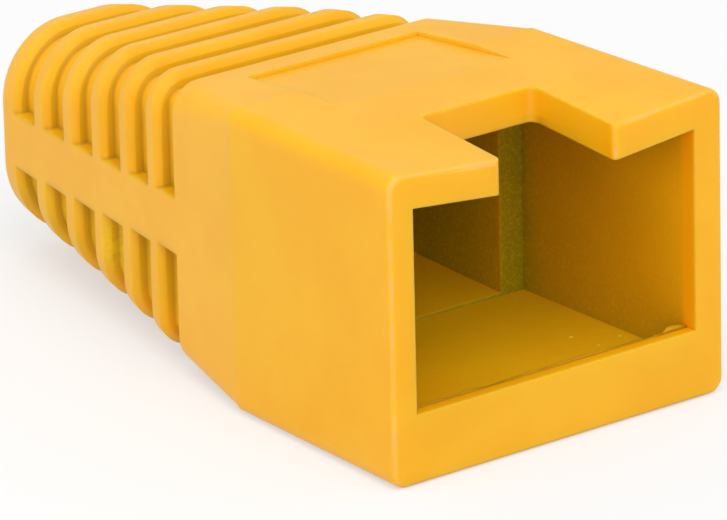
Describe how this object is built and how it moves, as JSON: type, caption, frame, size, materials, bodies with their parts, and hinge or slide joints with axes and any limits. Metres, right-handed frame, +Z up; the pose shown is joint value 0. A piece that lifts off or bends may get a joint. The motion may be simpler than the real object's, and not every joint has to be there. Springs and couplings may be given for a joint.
{
  "type": "rj45 strain relief boot",
  "caption": "Soft moulded hood and ribbed tail that slips over a modular plug and its cable, with a latch notch in the roof.",
  "frame": {"origin": "middle of the boot's length and width, on the surface that its flat underside stands on", "axes": "+X across the boot, +Y from the mouth back to the cable end, +Z up through the latch notch"},
  "size_m": [0.014, 0.0272, 0.0108],
  "materials": {
    "soft_vinyl": "satin"
  },
  "bodies": {
    "root": {"strain_relief_boot": "soft_vinyl"}
  },
  "joints": []
}
